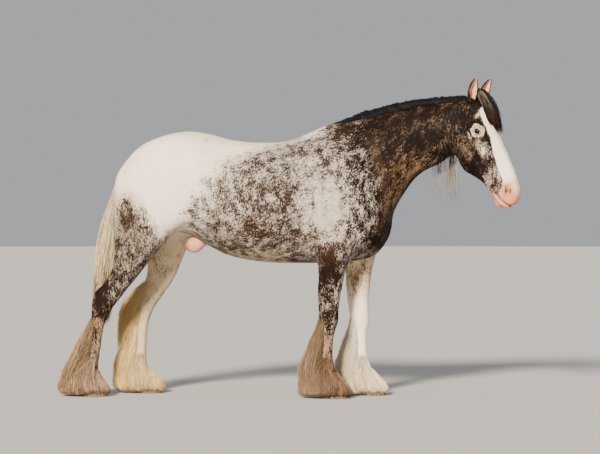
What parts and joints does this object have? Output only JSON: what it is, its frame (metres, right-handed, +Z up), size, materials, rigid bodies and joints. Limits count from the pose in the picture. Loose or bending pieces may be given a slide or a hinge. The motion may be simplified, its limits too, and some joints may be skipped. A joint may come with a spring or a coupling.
{
  "type": "appaloosa horse",
  "caption": "Life-size still model of a standing feathered appaloosa cob, head turned to its right, mane on the far side, long tail, all hooves on the floor.",
  "frame": {"origin": "on the floor under the middle of the horse's box", "axes": "+X towards the horse's front, +Y to its left, +Z up"},
  "size_m": [2.601, 0.6536, 1.7773],
  "materials": {
    "coat": "short fur, white over the quarters, speckled dark on the barrel",
    "dark_coat": "short brown black fur with white flecks",
    "long_hair": "long cream and brown hair",
    "skin": "bare pink skin",
    "hoof_horn": "satin horn",
    "eye": "wet gloss"
  },
  "bodies": {
    "root": {"head": "dark_coat", "neck": "dark_coat", "torso": "coat", "tail": "long_hair", "ear_right": "skin", "ear_left": "skin", "eye_right": "eye", "eye_left": "eye", "sheath": "skin", "foreleg_right_forearm": "coat", "foreleg_right_cannon": "long_hair", "foreleg_right_hoof": "hoof_horn", "foreleg_left_forearm": "coat", "foreleg_left_cannon": "long_hair", "foreleg_left_hoof": "hoof_horn", "hindleg_right_thigh": "coat", "hindleg_right_gaskin": "coat", "hindleg_right_cannon": "long_hair", "hindleg_right_hoof": "hoof_horn", "hindleg_left_thigh": "coat", "hindleg_left_gaskin": "coat", "hindleg_left_cannon": "long_hair", "hindleg_left_hoof": "hoof_horn"}
  },
  "joints": []
}
